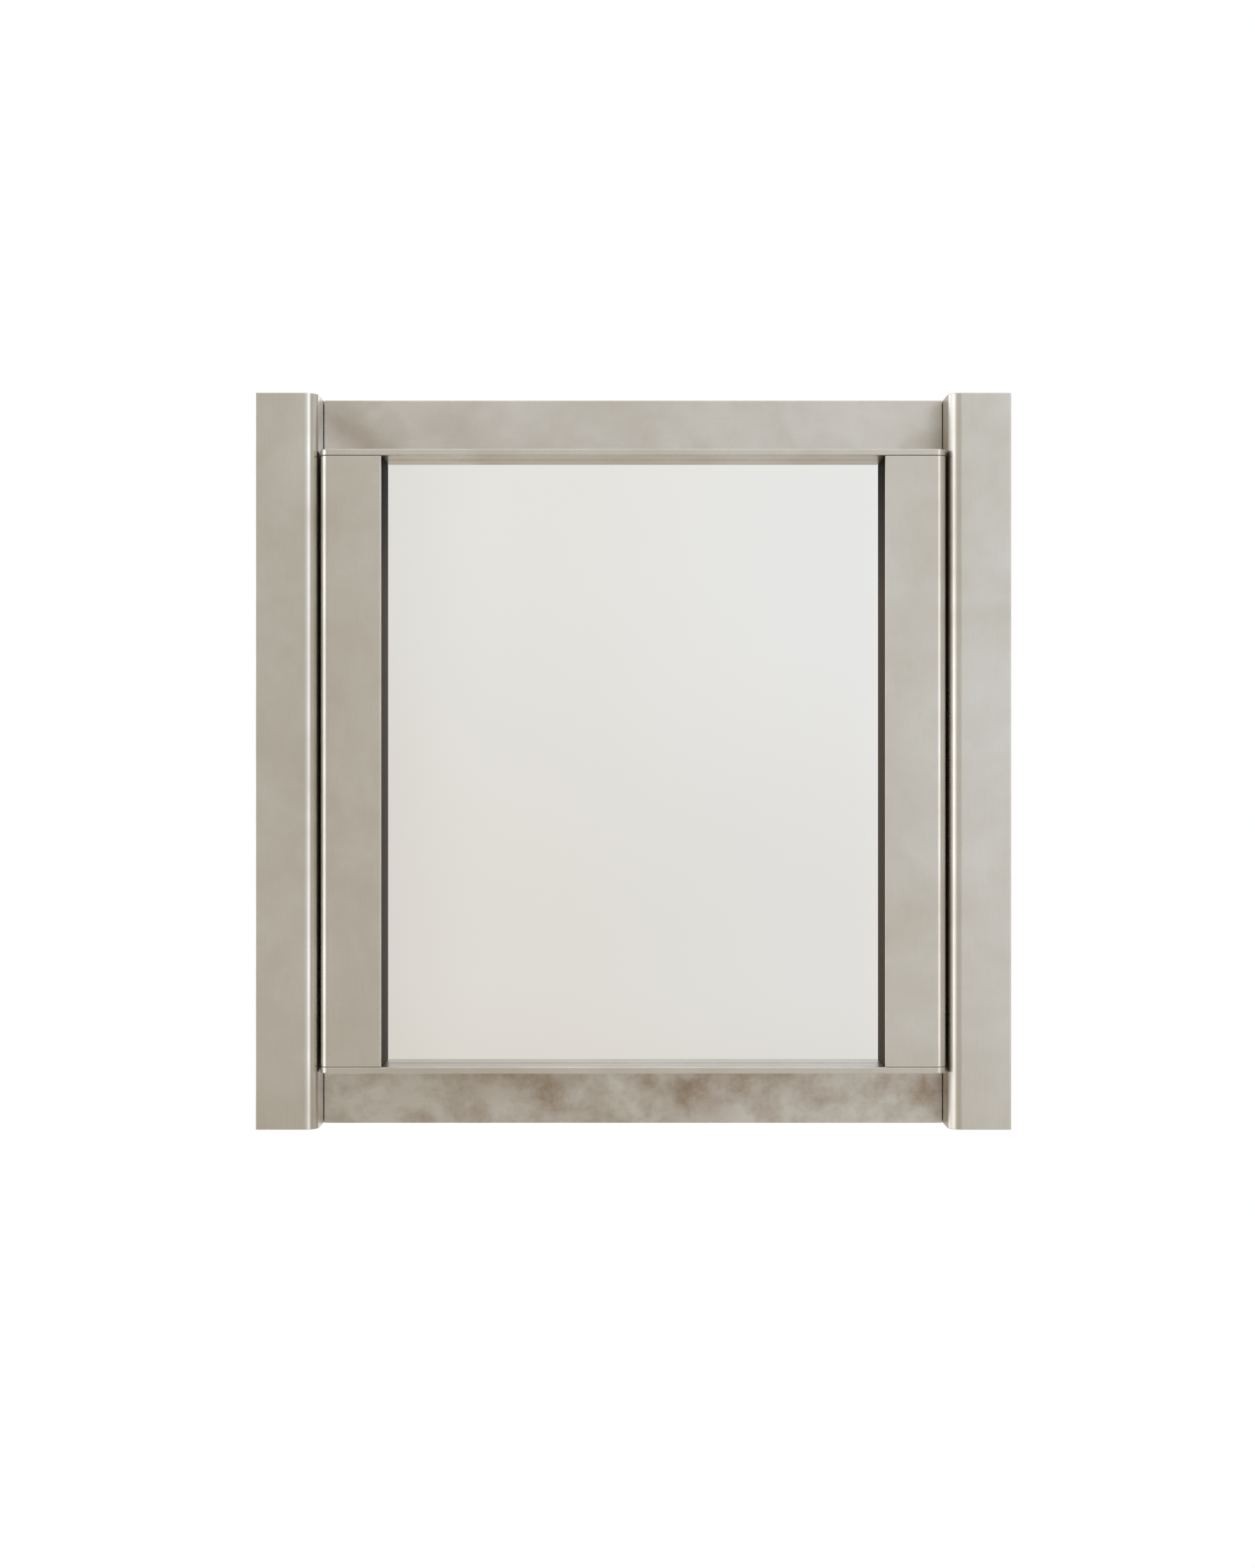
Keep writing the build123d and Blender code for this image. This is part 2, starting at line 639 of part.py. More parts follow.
for side, side_name in sides:
    with BuildPart() as stile:
        with BuildSketch(Plane.XY.offset(-stile_end_z)) as outline:
            with Locations((side * stile_x, stile_y)):
                Rectangle(stile_face_width, stile_depth)
            front_corners = outline.vertices().group_by(Axis.Y)[0].sort_by(lambda v: abs(v.X))
            fillet(front_corners[-1], door_edge_radius)
            offset(amount=-sheet, mode=Mode.SUBTRACT)
            with Locations((side * (mirror_half + sheet / 2), stile_y)):
                Rectangle(sheet, stile_depth - 2 * sheet, mode=Mode.SUBTRACT)
            inner_front = outline.vertices().group_by(Axis.Y)[0].sort_by(lambda v: abs(v.X))[0]
            fillet(inner_front, stile_inner_edge_radius)
        extrude(amount=2 * stile_end_z)
        for place in door_back_screws_at:
            if place.origin.X * side > 0:
                with Locations(facing(place.origin.X, stile_back_y, place.origin.Z, (0, 1, 0))):
                    Hole(m3_radius, depth=sheet)
        if side_name == "left":
            for level in hinge_levels:
                with Locations((notch_centre_x, pin_y + notch_depth / 2, level)):
                    Box(notch_width, notch_depth, notch_height, mode=Mode.SUBTRACT)
            for place in block_screws_at:
                with Locations(facing(place.origin.X, stile_back_y, place.origin.Z, (0, 1, 0))):
                    Hole(m4_radius, depth=sheet)
    stile.part.label = f"{side_name}_stile"
    export_step(stile.part, f"parts/{stile.part.label}.step")

    with BuildPart() as channel:
        with Locations((side * (mirror_half + sheet / 2), stile_y, 0)):
            Box(sheet, stile_depth - 2 * sheet, 2 * stile_end_z)
    channel.part.label = f"{side_name}_mirror_channel"
    export_step(channel.part, f"parts/{channel.part.label}.step")

    for end, end_name in ends:
        with BuildPart() as plug:
            with BuildSketch(Plane.XY.offset(end * stile_end_z)) as outline:
                with Locations((side * stile_x, stile_y)):
                    Rectangle(stile_face_width - 2 * sheet, stile_depth - 2 * sheet)
                front_corners = outline.vertices().group_by(Axis.Y)[0].sort_by(lambda v: abs(v.X))
                fillet(front_corners[-1], door_edge_radius - sheet)
            extrude(amount=-end * plug_height)
            with BuildSketch(Plane.XY.offset(end * stile_end_z)) as outline:
                with Locations((side * stile_x, stile_y)):
                    Rectangle(stile_face_width - 2 * plug_flange_inset, stile_depth - 2 * plug_flange_inset)
                front_corners = outline.vertices().group_by(Axis.Y)[0].sort_by(lambda v: abs(v.X))
                fillet(front_corners[-1], door_edge_radius - plug_flange_inset)
            extrude(amount=end * plug_flange)
            for place in plate_screws_at:
                if place.origin.X * side > 0 and place.origin.Z * end > 0:
                    with Locations(facing(place.origin.X, stile_y, end * plate_z, (0, 0, end))):
                        Hole(m4_radius, depth=plug_height + plug_flange)
        plug.part.label = f"{side_name}_stile_{end_name}_plug"
        export_step(plug.part, f"parts/{plug.part.label}.step")

# Door plates: full-width caps over the ends of both stiles

for end, end_name in ends:
    with BuildPart() as plate:
        with BuildSketch(Plane.XY.offset(end * plate_z)) as outline:
            with Locations((0, front_y + door_thickness / 2)):
                Rectangle(2 * door_half, door_thickness)
            fillet(outline.vertices().group_by(Axis.Y)[0], door_edge_radius)
        extrude(amount=end * plate_thickness)
        rims = plate.faces().filter_by(Plane.XY).edges()
        fillet(rims, plate_edge_radius)
        for place in plate_screws_at:
            if place.origin.Z * end > 0:
                with Locations(place):
                    CounterSinkHole(m4_radius + screw_clearance, m4_head_radius, depth=plate_thickness)
    plate.part.label = f"door_{end_name}_plate"
    export_step(plate.part, f"parts/{plate.part.label}.step")

# Mirror on tape strips, and the sheet that closes the back of the door

mirror_half_height = plate_z - mirror_edge_gap

with BuildPart() as mirror_glass:
    with Locations((0, mirror_y + mirror_thickness / 2, 0)):
        Box(2 * (mirror_half - mirror_edge_gap), mirror_thickness, 2 * mirror_half_height)
mirror_glass.part.label = "mirror_glass"
export_step(mirror_glass.part, "parts/mirror_glass.step")

tape_span = 2 * mirror_half - 2 * tape_end_margin - tape_width

with BuildPart() as mirror_tapes:
    for number in range(tape_count):
        tape_x = tape_span * (number / (tape_count - 1) - 0.5)
        with Locations((tape_x, mirror_y + mirror_thickness + tape_thickness / 2, 0)):
            Box(tape_width, tape_thickness, 2 * (mirror_half_height - tape_end_margin))
mirror_tapes.part.label = "mirror_tapes"
export_step(mirror_tapes.part, "parts/mirror_tapes.step")

with BuildPart() as door_back:
    with Locations((0, door_back_y - door_back_sheet / 2, 0)):
        Box(2 * (door_half - door_back_inset), door_back_sheet, 2 * plate_z)
    for level in hinge_levels:
        with Locations((notch_centre_x, pin_y + notch_depth / 2, level)):
            Box(notch_width, notch_depth, notch_height, mode=Mode.SUBTRACT)
    with Locations(*block_screws_at):
        CounterSinkHole(m4_radius, m4_head_radius, depth=door_back_sheet)
    with Locations(*door_back_screws_at):
        CounterSinkHole(m3_radius, m3_head_radius, depth=door_back_sheet)
door_back.part.label = "door_back"
export_step(door_back.part, "parts/door_back.step")

# Screws, one group for each use

screw_groups = (
    ("rail_bracket_screws", bracket_screws_at, m5_radius, m5_head_radius, bracket_thickness),
    ("panel_screws", panel_screws_at, m4_radius, m4_head_radius, sheet),
    ("back_panel_screws", back_screws_at, m4_radius, m4_head_radius, sheet),
    ("hinge_arm_screws", arm_screws_at, m5_radius, m5_head_radius, arm_base_thickness),
    ("latch_screws", latch_screws_at, m3_radius, m3_head_radius, sheet),
    ("plate_screws", plate_screws_at, m4_radius, m4_head_radius, plate_thickness + plug_flange),
    ("hinge_block_screws", block_screws_at, m4_radius, m4_head_radius, door_back_sheet + sheet),
    ("door_back_screws", door_back_screws_at, m3_radius, m3_head_radius, door_back_sheet),
)
for group_name, places, radius, head_radius, thickness in screw_groups:
    grip = latch_flange_thickness if group_name == "latch_screws" else screw_grip
    screw = flat_head_screw(radius, head_radius, thickness + grip)
    with BuildPart() as screws:
        with Locations(*places):
            add(screw)
    screws.part.label = group_name
    export_step(screws.part, f"parts/{group_name}.step")
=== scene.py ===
import bpy
import bmesh
import json
import math
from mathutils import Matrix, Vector


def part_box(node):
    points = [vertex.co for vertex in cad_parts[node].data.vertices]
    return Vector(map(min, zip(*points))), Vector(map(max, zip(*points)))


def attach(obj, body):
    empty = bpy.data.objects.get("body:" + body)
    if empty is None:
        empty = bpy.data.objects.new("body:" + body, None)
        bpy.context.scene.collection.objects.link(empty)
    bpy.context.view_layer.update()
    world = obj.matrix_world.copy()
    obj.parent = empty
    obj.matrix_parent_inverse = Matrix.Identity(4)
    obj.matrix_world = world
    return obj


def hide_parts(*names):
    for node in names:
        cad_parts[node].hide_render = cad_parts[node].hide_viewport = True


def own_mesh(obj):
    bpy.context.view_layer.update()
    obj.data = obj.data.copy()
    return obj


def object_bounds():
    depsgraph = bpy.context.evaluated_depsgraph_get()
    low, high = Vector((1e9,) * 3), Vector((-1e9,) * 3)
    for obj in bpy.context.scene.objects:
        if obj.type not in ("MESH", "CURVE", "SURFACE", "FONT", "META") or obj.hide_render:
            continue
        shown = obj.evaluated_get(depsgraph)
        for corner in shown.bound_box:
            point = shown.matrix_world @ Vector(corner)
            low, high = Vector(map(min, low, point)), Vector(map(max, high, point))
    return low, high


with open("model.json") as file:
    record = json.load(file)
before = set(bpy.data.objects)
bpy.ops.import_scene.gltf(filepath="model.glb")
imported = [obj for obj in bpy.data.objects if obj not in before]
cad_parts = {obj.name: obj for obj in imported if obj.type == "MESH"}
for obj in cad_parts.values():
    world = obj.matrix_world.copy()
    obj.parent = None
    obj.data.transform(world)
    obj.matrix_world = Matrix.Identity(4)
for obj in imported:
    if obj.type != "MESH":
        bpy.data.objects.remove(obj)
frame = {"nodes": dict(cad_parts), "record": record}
cad_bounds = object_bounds()
nodes = frame["nodes"]

# Places read from the frame, in metres

cad_low = cad_bounds[0]
front_y = cad_low[1]
rail_front_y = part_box("top_rail")[0][1]
channel_top_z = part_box("left_mirror_channel")[1][2]

# Latch spring: its wire and its turns

spring_wire_radius = 0.0005
spring_turns = 4
spring_steps_per_turn = 32
spring_wire_sides = 12

# Camera: level and square to the front, at the photograph's distance

camera_distance = 2.363
camera_offset_x = -0.0062
camera_offset_z = -0.0247
camera_lens_mm = 50.0
sensor_mm = 36.0

# Stage and world

floor_drop = 1.05
floor_radius = 1.15
floor_sides = 96
backdrop_strength = 1.0
room_strength = 0.9
room_colour = (1.0, 0.98, 0.95, 1.0)
white = (1.0, 1.0, 1.0, 1.0)

# Sockets of a Mix node that mixes colours, by number because some share a name

mix_factor = 0
mix_first = 6
mix_second = 7
mix_result = 2


def srgb(r, g, b):
    """A colour given as 0 to 255 values, as linear light."""
    def linear(value):
        value /= 255.0
        return value / 12.92 if value <= 0.04045 else ((value + 0.055) / 1.055) ** 2.4
    return (linear(r), linear(g), linear(b), 1.0)


def toned(colour, factor, lift=0.0):
    """A colour made darker or lighter by a factor, and lifted evenly."""
    return (*(min(1.0, value * factor + lift) for value in colour[:3]), 1.0)


class NodeTree:
    """A node tree, with short calls for the nodes that the materials and the world share."""

    def __init__(self, tree):
        self.tree = tree

    def add(self, kind, **settings):
        """A new node of a kind, with its own settings made."""
        node = self.tree.nodes.new(kind)
        for name, value in settings.items():
            setattr(node, name, value)
        return node

    def feed(self, socket, value):
        """Gives a socket a value, or a link where the value is a socket too."""
        if isinstance(value, bpy.types.NodeSocket):
            self.tree.links.new(value, socket)
        else:
            socket.default_value = value

    def axes(self, vector):
        """The X, Y and Z of a vector."""
        node = self.add("ShaderNodeSeparateXYZ")
        self.feed(node.inputs[0], vector)
        return node.outputs

    def combine(self, operation, first, second):
        """A number worked out from two, each a value or a socket."""
        node = self.add("ShaderNodeMath", operation=operation)
        self.feed(node.inputs[0], first)
        self.feed(node.inputs[1], second)
        return node.outputs[0]

    def remap(self, value, low, high, to_low=0.0, to_high=1.0):
        """A number moved from one range to another, and held inside it."""
        node = self.add("ShaderNodeMapRange")
        node.inputs["From Min"].default_value = low
        node.inputs["From Max"].default_value = high
        node.inputs["To Min"].default_value = to_low
        node.inputs["To Max"].default_value = to_high
        self.feed(node.inputs["Value"], value)
        return node.outputs["Result"]

    def blend(self, factor, first, second, kind="MIX"):
        """A mix of two colours, each a value or a socket."""
        node = self.add("ShaderNodeMix", data_type="RGBA", blend_type=kind)
        self.feed(node.inputs[mix_factor], factor)
        self.feed(node.inputs[mix_first], first)
        self.feed(node.inputs[mix_second], second)
        return node.outputs[mix_result]


class Finish(NodeTree):
    """A material's nodes, which all lead to its one shader."""

    def __init__(self, name):
        self.material = bpy.data.materials.new(name)
        self.material.use_nodes = True
        super().__init__(self.material.node_tree)
        self.shader = self.tree.nodes["Principled BSDF"]
        self.place = self.add("ShaderNodeTexCoord").outputs["Object"]

    def noise(self, scale, detail, roughness, distortion=0.0, stretch=None, output="Fac"):
        """Soft noise, finer for a higher scale, and drawn out along an axis whose stretch is low."""
        vector = self.place
        if stretch:
            mapping = self.add("ShaderNodeMapping")
            mapping.inputs["Scale"].default_value = stretch
            self.feed(mapping.inputs["Vector"], self.place)
            vector = mapping.outputs["Vector"]
        node = self.add("ShaderNodeTexNoise")
        node.inputs["Scale"].default_value = scale
        node.inputs["Detail"].default_value = detail
        node.inputs["Roughness"].default_value = roughness
        node.inputs["Distortion"].default_value = distortion
        self.feed(node.inputs["Vector"], vector)
        return node.outputs[output]

    def bump(self, height, strength, distance):
        """Makes the surface look raised by a height, which stands for up to the distance."""
        node = self.add("ShaderNodeBump")
        node.inputs["Strength"].default_value = strength
        node.inputs["Distance"].default_value = distance
        self.feed(node.inputs["Height"], height)
        self.feed(self.shader.inputs["Normal"], node.outputs["Normal"])

    def set(self, **values):
        """Feeds the shader's sockets, each named in lower case with underscores."""
        for name, value in values.items():
            socket_name = name.replace("_", " ").title().replace("Ior", "IOR")
            self.feed(self.shader.inputs[socket_name], value)


# Stains on the two rails, and one painted dark reflection of the right post at the top rail's right end:
# centre across and up, radius and strength

# Also the colour of the painted dark reflection of the right post
stain_and_reflection_colour = srgb(146, 128, 108)
spot_edge_wander = 0.07
rail_stains_and_reflection = (
    (-0.165, -0.342, 0.055, 0.5),
    (-0.10, -0.345, 0.05, 0.45),
    (0.055, -0.350, 0.06, 0.5),
    (0.09, -0.375, 0.05, 0.35),
    (0.15, -0.345, 0.05, 0.4),
    (0.20, -0.360, 0.05, 0.2),
    (0.30, -0.350, 0.06, 0.25),
    (0.34, -0.375, 0.05, 0.25),
    (-0.29, 0.350, 0.05, 0.55),
    (-0.33, 0.385, 0.05, 0.45),
    (-0.20, 0.370, 0.07, 0.2),
    # Painted dark reflection of the right post in the top rail, in the stain colour; not a stain
    (0.335, 0.345, 0.035, 0.4),
)

# All over the rails there are small blotches too, faint above and stronger towards the bottom

blotch_strength = 0.6
blotch_share_above = 0.2
blotch_full_z = -0.3


def stain_and_reflection_mask(finish, stain_and_reflection_spots):
    """How stained a place is, with the painted reflection of the right post: the blotches, and soft spots
    whose edges wander with a noise.
    """
    blotch_noise = finish.noise(scale=27.0, detail=6.0, roughness=0.62, distortion=0.1)
    blotches = finish.remap(blotch_noise, low=0.42, high=0.7, to_high=blotch_strength)
    height = finish.axes(finish.place)["Z"]
    lowness = finish.remap(height, low=0.0, high=blotch_full_z, to_low=blotch_share_above)
    total = finish.combine("MULTIPLY", blotches, lowness)
    wander = finish.noise(scale=22.0, detail=4.0, roughness=0.5, output="Color")
    wandered = finish.add("ShaderNodeVectorMath", operation="MULTIPLY_ADD")
    wandered.inputs[1].default_value = (spot_edge_wander, 0.0, spot_edge_wander)
    finish.feed(wandered.inputs[0], wander)
    finish.feed(wandered.inputs[2], finish.place)
    for x, z, radius, strength in stain_and_reflection_spots:
        # The noise is a half on average, so the centre moves by half of the wander as well
        centre = (x + spot_edge_wander / 2, rail_front_y, z + spot_edge_wander / 2)
        apart = finish.add("ShaderNodeVectorMath", operation="DISTANCE")
        apart.inputs[1].default_value = centre
        finish.feed(apart.inputs[0], wandered.outputs[0])
        spot = finish.remap(apart.outputs["Value"], low=0.0, high=radius, to_low=strength, to_high=0.0)
        total = finish.combine("ADD", total, spot)
    return finish.combine("MINIMUM", total, 1.0)


def satin_metal(name, light, dark, smoothest, roughest, grain_stretch, cloud_spread=0.16, stain_and_reflection_spots=()):
    """Satin anodised metal: soft clouds, faint handling marks and a very fine grain."""
    finish = Finish(name)
    noise_middle = 0.5
    cloud_noise = finish.noise(scale=7.0, detail=3.0, roughness=0.5, distortion=0.6)
    clouds = finish.remap(cloud_noise, low=noise_middle - cloud_spread, high=noise_middle + cloud_spread)
    mark_noise = finish.noise(scale=26.0, detail=5.0, roughness=0.6, distortion=0.3)
    marks = finish.remap(mark_noise, low=0.35, high=0.65)
    cloud_share = 0.7
    weighted_clouds = finish.combine("MULTIPLY", clouds, cloud_share)
    weighted_marks = finish.combine("MULTIPLY", marks, 1 - cloud_share)
    mottle = finish.combine("ADD", weighted_clouds, weighted_marks)
    colour = finish.blend(mottle, dark, light)
    if stain_and_reflection_spots:
        colour = finish.blend(stain_and_reflection_mask(finish, stain_and_reflection_spots), colour, stain_and_reflection_colour)
    grain = finish.noise(scale=900.0, detail=2.0, roughness=0.5, stretch=grain_stretch)
    speck = finish.remap(grain, low=0.3, high=0.5, to_low=0.97)
    finish.set(
        base_color=finish.blend(1.0, colour, speck, "MULTIPLY"),
        metallic=1.0,
        roughness=finish.remap(mottle, low=0.0, high=1.0, to_low=roughest, to_high=smoothest),
    )
    cloud_relief = 2.0
    relief = finish.combine("ADD", grain, finish.combine("MULTIPLY", clouds, cloud_relief))
    finish.bump(relief, strength=0.01, distance=0.0002)
    return finish.material


def plain_metal(name, colour, roughness):
    """Plated or rolled metal with small uneven patches and fine scratches."""
    finish = Finish(name)
    patches = finish.noise(scale=160.0, detail=4.0, roughness=0.6, distortion=0.4)
    scratches = finish.noise(scale=960.0, detail=3.0, roughness=0.6, stretch=(0.15, 1.0, 1.0))
    smoothest, roughest = roughness * 0.75, roughness * 1.25
    finish.set(
        base_color=finish.blend(patches, toned(colour, factor=0.82), colour),
        metallic=1.0,
        roughness=finish.remap(scratches, low=0.2, high=0.8, to_low=smoothest, to_high=roughest),
    )
    finish.bump(scratches, strength=0.08, distance=0.0001)
    return finish.material


def moulded(name, colour, roughness, texture_scale=500.0, relief=0.15):
    """Plastic, rubber or a coating, with a fine sparked texture."""
    finish = Finish(name)
    spark = finish.noise(scale=texture_scale, detail=3.0, roughness=0.6)
    patches = finish.noise(scale=texture_scale / 12.0, detail=3.0, roughness=0.5)
    smoothest, roughest = roughness * 0.85, min(1.0, roughness * 1.15)
    finish.set(
        base_color=finish.blend(patches, colour, toned(colour, factor=1.18, lift=0.004)),
        roughness=finish.remap(spark, low=0.25, high=0.75, to_low=smoothest, to_high=roughest),
    )
    finish.bump(spark, strength=relief, distance=0.0001)
    return finish.material


def channel_finish():
    """Aluminium coloured dark as painted shade of the narrow recess beside the mirror, nearly matt, with a
    painted shadow of the top plate that makes it darkest at its upper end.
    """
    finish = Finish("channel_painted_shade")
    top_shadow_length = 0.15
    streaks = finish.noise(scale=60.0, detail=4.0, roughness=0.6, distortion=0.2, stretch=(1.0, 1.0, 0.08))
    height = finish.axes(finish.place)["Z"]
    # Painted shadow of the top plate: the upper end darkens to near black
    top_shadow_mask = finish.remap(height, low=channel_top_z - top_shadow_length, high=channel_top_z)
    # The streaked dark tone is painted shade of the recess beside the mirror
    tone = finish.blend(streaks, srgb(66, 59, 51), srgb(84, 76, 67))
    finish.set(
        base_color=finish.blend(top_shadow_mask, tone, srgb(18, 16, 13)),
        roughness=finish.remap(streaks, low=0.2, high=0.8, to_low=0.55, to_high=0.7),
        specular_ior_level=0.02,
    )
    finish.bump(streaks, strength=0.1, distance=0.0002)
    return finish.material


def mirror_finish():
    """Silvered glass: nearly perfect reflection with a trace of unevenness."""
    finish = Finish("silvered_glass")
    haze = finish.noise(scale=5.0, detail=3.0, roughness=0.5)
    finish.set(
        base_color=finish.blend(haze, srgb(244, 244, 243), srgb(247, 247, 247)),
        metallic=1.0,
        roughness=finish.remap(haze, low=0.3, high=0.7, to_high=0.012),
    )
    return finish.material


def shelf_glass_finish():
    """Clear glass with a faint green body and soft smears."""
    finish = Finish("clear_shelf_glass")
    smears = finish.noise(scale=18.0, detail=4.0, roughness=0.6, distortion=0.5)
    finish.set(
        base_color=finish.blend(smears, srgb(222, 238, 230), srgb(236, 246, 241)),
        roughness=finish.remap(smears, low=0.3, high=0.8, to_low=0.01, to_high=0.06),
        ior=1.5,
        transmission_weight=1.0,
    )
    return finish.material


vertical_grain = (1.0, 1.0, 0.03)
cross_grain = (0.03, 1.0, 1.0)

# A finish for each material slot

finishes = {
    "post_metal": satin_metal(
        "post_satin", light=srgb(207, 203, 196), dark=srgb(191, 186, 175),
        smoothest=0.25, roughest=0.33, grain_stretch=vertical_grain,
    ),
    "door_metal": satin_metal(
        "door_satin", light=srgb(205, 201, 193), dark=srgb(190, 184, 172),
        smoothest=0.25, roughest=0.33, grain_stretch=vertical_grain,
    ),
    "rail_metal": satin_metal(
        "rail_satin", light=srgb(208, 204, 198), dark=srgb(192, 187, 177),
        smoothest=0.3, roughest=0.4, grain_stretch=cross_grain, stain_and_reflection_spots=rail_stains_and_reflection,
    ),
    "inner_sheet": satin_metal(
        "inner_satin", light=srgb(190, 186, 178), dark=srgb(178, 173, 164),
        smoothest=0.42, roughest=0.52, grain_stretch=cross_grain, cloud_spread=0.2,
    ),
    "dark_channel": channel_finish(),
    "mirror": mirror_finish(),
    "shelf_glass": shelf_glass_finish(),
    "black_plastic": moulded("black_moulded_plastic", srgb(28, 27, 26), roughness=0.55),
    "grey_plastic": moulded("grey_moulded_plastic", srgb(150, 150, 148), roughness=0.45),
    "silicone": moulded(
        "soft_silicone", srgb(214, 214, 210), roughness=0.35, texture_scale=300.0, relief=0.05,
    ),
    "foam_tape": moulded(
        "foam_tape", srgb(60, 60, 60), roughness=0.95, texture_scale=900.0, relief=0.6,
    ),
    "plated_steel": plain_metal("bright_nickel", srgb(214, 212, 206), roughness=0.18),
    "hinge_steel": plain_metal("satin_nickel", srgb(186, 183, 177), roughness=0.34),
    "zinc_steel": plain_metal("zinc_plate", srgb(192, 193, 194), roughness=0.4),
}

# The rail brackets share a slot with other steel but are coloured black as painted shade, so that the thin
# joint where they show reads dark

bracket_painted_shade = moulded("bracket_black_painted_shade", srgb(20, 19, 18), roughness=0.5)

slot_of = {entry["node"]: entry["material_slot"] for entry in frame["record"]["subparts"]}
for node_name, obj in nodes.items():
    material = bracket_painted_shade if node_name.endswith("rail_bracket") else finishes[slot_of[node_name]]
    for slot in obj.material_slots:
        slot.material = material
    if not obj.material_slots:
        obj.data.materials.append(material)

# The latch spring, wound again here as a coiled wire


def tube_along(points, radius, sides):
    """A closed mesh tube through points, with its rings square to the line."""
    build = bmesh.new()
    angles = [2 * math.pi * side / sides for side in range(sides)]
    rings = []
    for index, point in enumerate(points):
        before = points[max(index - 1, 0)]
        after = points[min(index + 1, len(points) - 1)]
        along = (after - before).normalized()
        across = along.cross(Vector((0.0, 1.0, 0.0))).normalized()
        up = across.cross(along)
        rings.append([
            build.verts.new(point + radius * (math.cos(angle) * across + math.sin(angle) * up))
            for angle in angles
        ])
    for ring, following in zip(rings, rings[1:]):
        for side in range(sides):
            build.faces.new((ring[side], ring[side - 1], following[side - 1], following[side]))
    build.faces.new(rings[0])
    build.faces.new(reversed(rings[-1]))
    bmesh.ops.recalc_face_normals(build, faces=build.faces)
    # The tube's wall is four-sided and smooth; its two flat ends have more sides
    for face in build.faces:
        face.smooth = len(face.verts) == 4
    mesh = bpy.data.meshes.new("tube")
    build.to_mesh(mesh)
    build.free()
    return mesh


def helix(low, high):
    """The spring's line, which winds along Y inside a box, half a wire away from its sides."""
    centre = (low + high) / 2
    coil_radius = (high.x - low.x) / 2 - spring_wire_radius
    start_y, end_y = low.y + spring_wire_radius, high.y - spring_wire_radius
    steps = spring_turns * spring_steps_per_turn
    points = []
    for step in range(steps + 1):
        angle = 2 * math.pi * step / spring_steps_per_turn
        x = centre.x + coil_radius * math.cos(angle)
        y = start_y + (end_y - start_y) * step / steps
        z = centre.z + coil_radius * math.sin(angle)
        points.append(Vector((x, y, z)))
    return points


def wound_spring():
    """The spring as one mesh, which takes the place of the plain one and is fixed to the cabinet."""
    low, high = (Vector(corner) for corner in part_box("latch_spring"))
    mesh = tube_along(helix(low, high), spring_wire_radius, spring_wire_sides)
    spring = bpy.data.objects.new("wound_latch_spring", mesh)
    bpy.context.scene.collection.objects.link(spring)
    spring.data.materials.append(finishes[slot_of["latch_spring"]])
    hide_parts("latch_spring")
    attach(spring, "cabinet")
    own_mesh(spring)


wound_spring()


def floor_disc():
    """A plain pale floor under the hung cabinet."""
    mesh = bpy.data.meshes.new("floor")
    build = bmesh.new()
    bmesh.ops.create_circle(build, cap_ends=True, segments=floor_sides, radius=floor_radius)
    build.to_mesh(mesh)
    build.free()
    floor = bpy.data.objects.new("floor", mesh)
    floor.location = (0.0, front_y, cad_low[2] - floor_drop)
    bpy.context.scene.collection.objects.link(floor)
    floor.data.materials.append(
        moulded("pale_floor", srgb(246, 245, 243), roughness=0.8, texture_scale=60.0, relief=0.05)
    )


floor_disc()


def softbox(name, place, width, height, power):
    """A large soft lamp aimed at the middle of the mirror."""
    data = bpy.data.lights.new(name, "AREA")
    data.shape = "RECTANGLE"
    data.size = width
    data.size_y = height
    data.energy = power
    lamp = bpy.data.objects.new(name, data)
    aim = Vector((0.0, front_y, 0.0)) - Vector(place)
    lamp.location = place
    lamp.rotation_euler = aim.to_track_quat("-Z", "Y").to_euler()
    lamp.visible_camera = False
    bpy.context.scene.collection.objects.link(lamp)
    return lamp


# Two side lamps, which light the matt surfaces only: the metal shows the world's light bands instead

side_lamps = (
    softbox("right_softbox", place=(2.35, -3.6, 0.9), width=1.9, height=2.6, power=22.0),
    softbox("left_softbox", place=(-2.72, -1.42, 0.7), width=2.2, height=2.4, power=12.0),
)
for side_lamp in side_lamps:
    side_lamp.visible_glossy = False
softbox("top_softbox", place=(0.0, -1.3, 1.9), width=1.6, height=0.8, power=6.0)

# What the metal reflects: the light from each direction, by how far it points to the right (X) and
# up (Z). Both sides have a light band, there is a dark one at the far right, and it is warmer below

bands_across = (
    (-1.00, (1.55, 1.60, 1.68)),
    (-0.87, (2.30, 2.42, 2.60)),
    (-0.71, (1.02, 1.02, 1.00)),
    (-0.46, (0.73, 0.705, 0.655)),
    (-0.16, (0.75, 0.725, 0.68)),
    (-0.06, (0.855, 0.84, 0.805)),
    (0.10, (0.87, 0.87, 0.86)),
    (0.17, (0.965, 1.01, 1.07)),
    (0.27, (1.02, 1.08, 1.17)),
    (0.40, (1.85, 1.95, 2.12)),
    (0.52, (2.10, 2.20, 2.36)),
    (0.66, (0.95, 0.97, 1.00)),
    (0.77, (0.46, 0.42, 0.36)),
    (0.88, (0.70, 0.67, 0.62)),
    (1.00, (0.86, 0.84, 0.81)),
)
bands_upright = (
    (-0.60, (0.62, 0.53, 0.42)),
    (-0.26, (0.78, 0.71, 0.62)),
    (-0.08, (0.94, 0.925, 0.905)),
    (0.12, (1.0, 1.0, 1.0)),
)


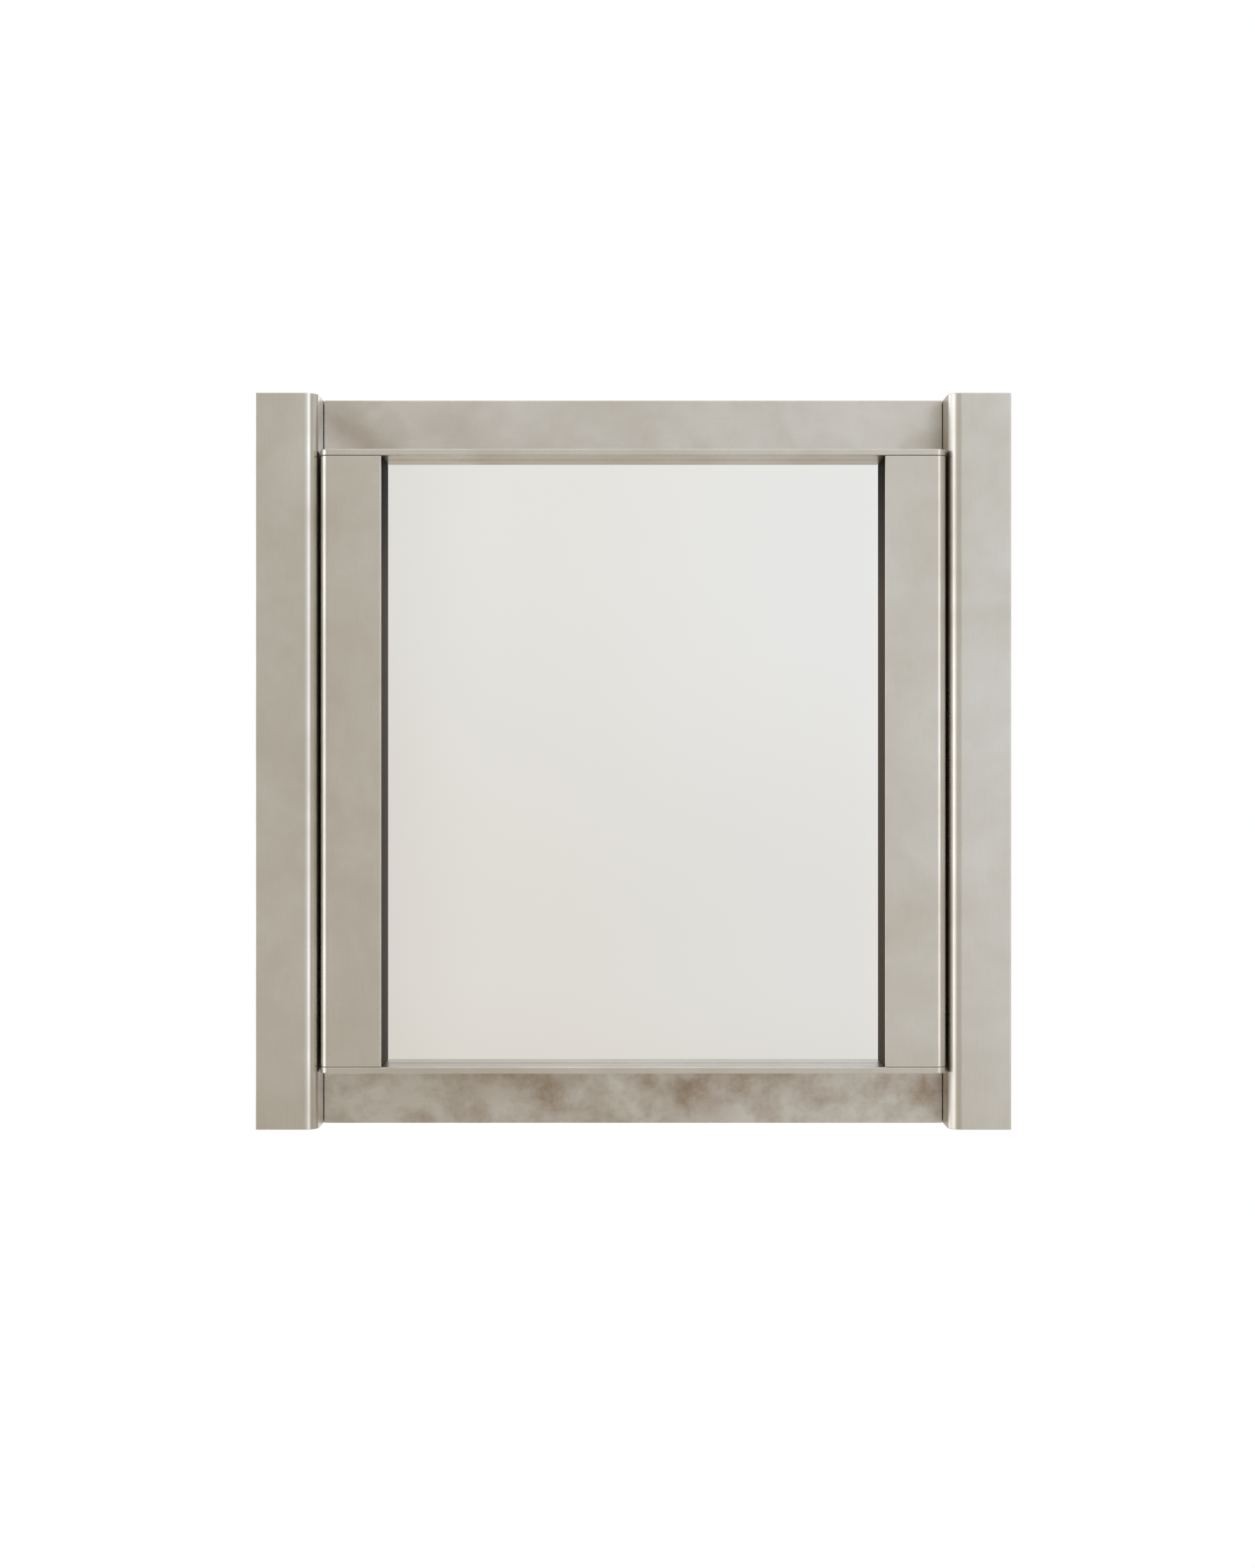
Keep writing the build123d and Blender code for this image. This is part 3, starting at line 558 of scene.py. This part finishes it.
def direction_ramp(sky, axis, stops):
    """A colour that changes with one axis of a direction, which runs from -1 to 1."""
    ramp = sky.add("ShaderNodeValToRGB")
    ramp.color_ramp.interpolation = "EASE"
    elements = ramp.color_ramp.elements
    for place, colour in stops[1:-1]:
        elements.new((place + 1) / 2)
    for element, (place, colour) in zip(elements, stops):
        element.position = (place + 1) / 2
        element.color = (*colour, 1.0)
    sky.feed(ramp.inputs["Fac"], sky.remap(axis, low=-1.0, high=1.0))
    return ramp.outputs["Color"]


def studio_world():
    """A white backdrop, which the metal sees with its light bands, and a plain pale room for the rest."""
    world = bpy.data.worlds.new("studio")
    bpy.context.scene.world = world
    world.use_nodes = True
    world.node_tree.nodes.clear()
    sky = NodeTree(world.node_tree)
    rays = sky.add("ShaderNodeLightPath").outputs
    direction = sky.axes(sky.add("ShaderNodeTexCoord").outputs["Generated"])
    across = direction_ramp(sky, direction["X"], bands_across)
    upright = direction_ramp(sky, direction["Z"], bands_upright)
    bands = sky.blend(1.0, across, upright, "MULTIPLY")
    backdrop = sky.add("ShaderNodeBackground")
    sky.feed(backdrop.inputs["Color"], sky.blend(rays["Is Glossy Ray"], white, bands))
    backdrop.inputs["Strength"].default_value = backdrop_strength
    room = sky.add("ShaderNodeBackground")
    room.inputs["Color"].default_value = room_colour
    room.inputs["Strength"].default_value = room_strength
    sees_backdrop = rays["Is Camera Ray"]
    for kind in ("Is Glossy Ray", "Is Transmission Ray"):
        sees_backdrop = sky.combine("MAXIMUM", sees_backdrop, rays[kind])
    choice = sky.add("ShaderNodeMixShader")
    sky.feed(choice.inputs[0], sees_backdrop)
    sky.feed(choice.inputs[1], room.outputs[0])
    sky.feed(choice.inputs[2], backdrop.outputs[0])
    sky.feed(sky.add("ShaderNodeOutputWorld").inputs["Surface"], choice.outputs[0])


studio_world()

camera_data = bpy.data.cameras.new("camera")
camera_data.lens = camera_lens_mm
camera_data.sensor_width = sensor_mm
camera = bpy.data.objects.new("camera", camera_data)
camera.location = (camera_offset_x, front_y - camera_distance, camera_offset_z)
camera.rotation_euler = (math.radians(90), 0.0, 0.0)
bpy.context.scene.collection.objects.link(camera)
bpy.context.scene.camera = camera

bpy.context.scene.view_settings.view_transform = "Standard"
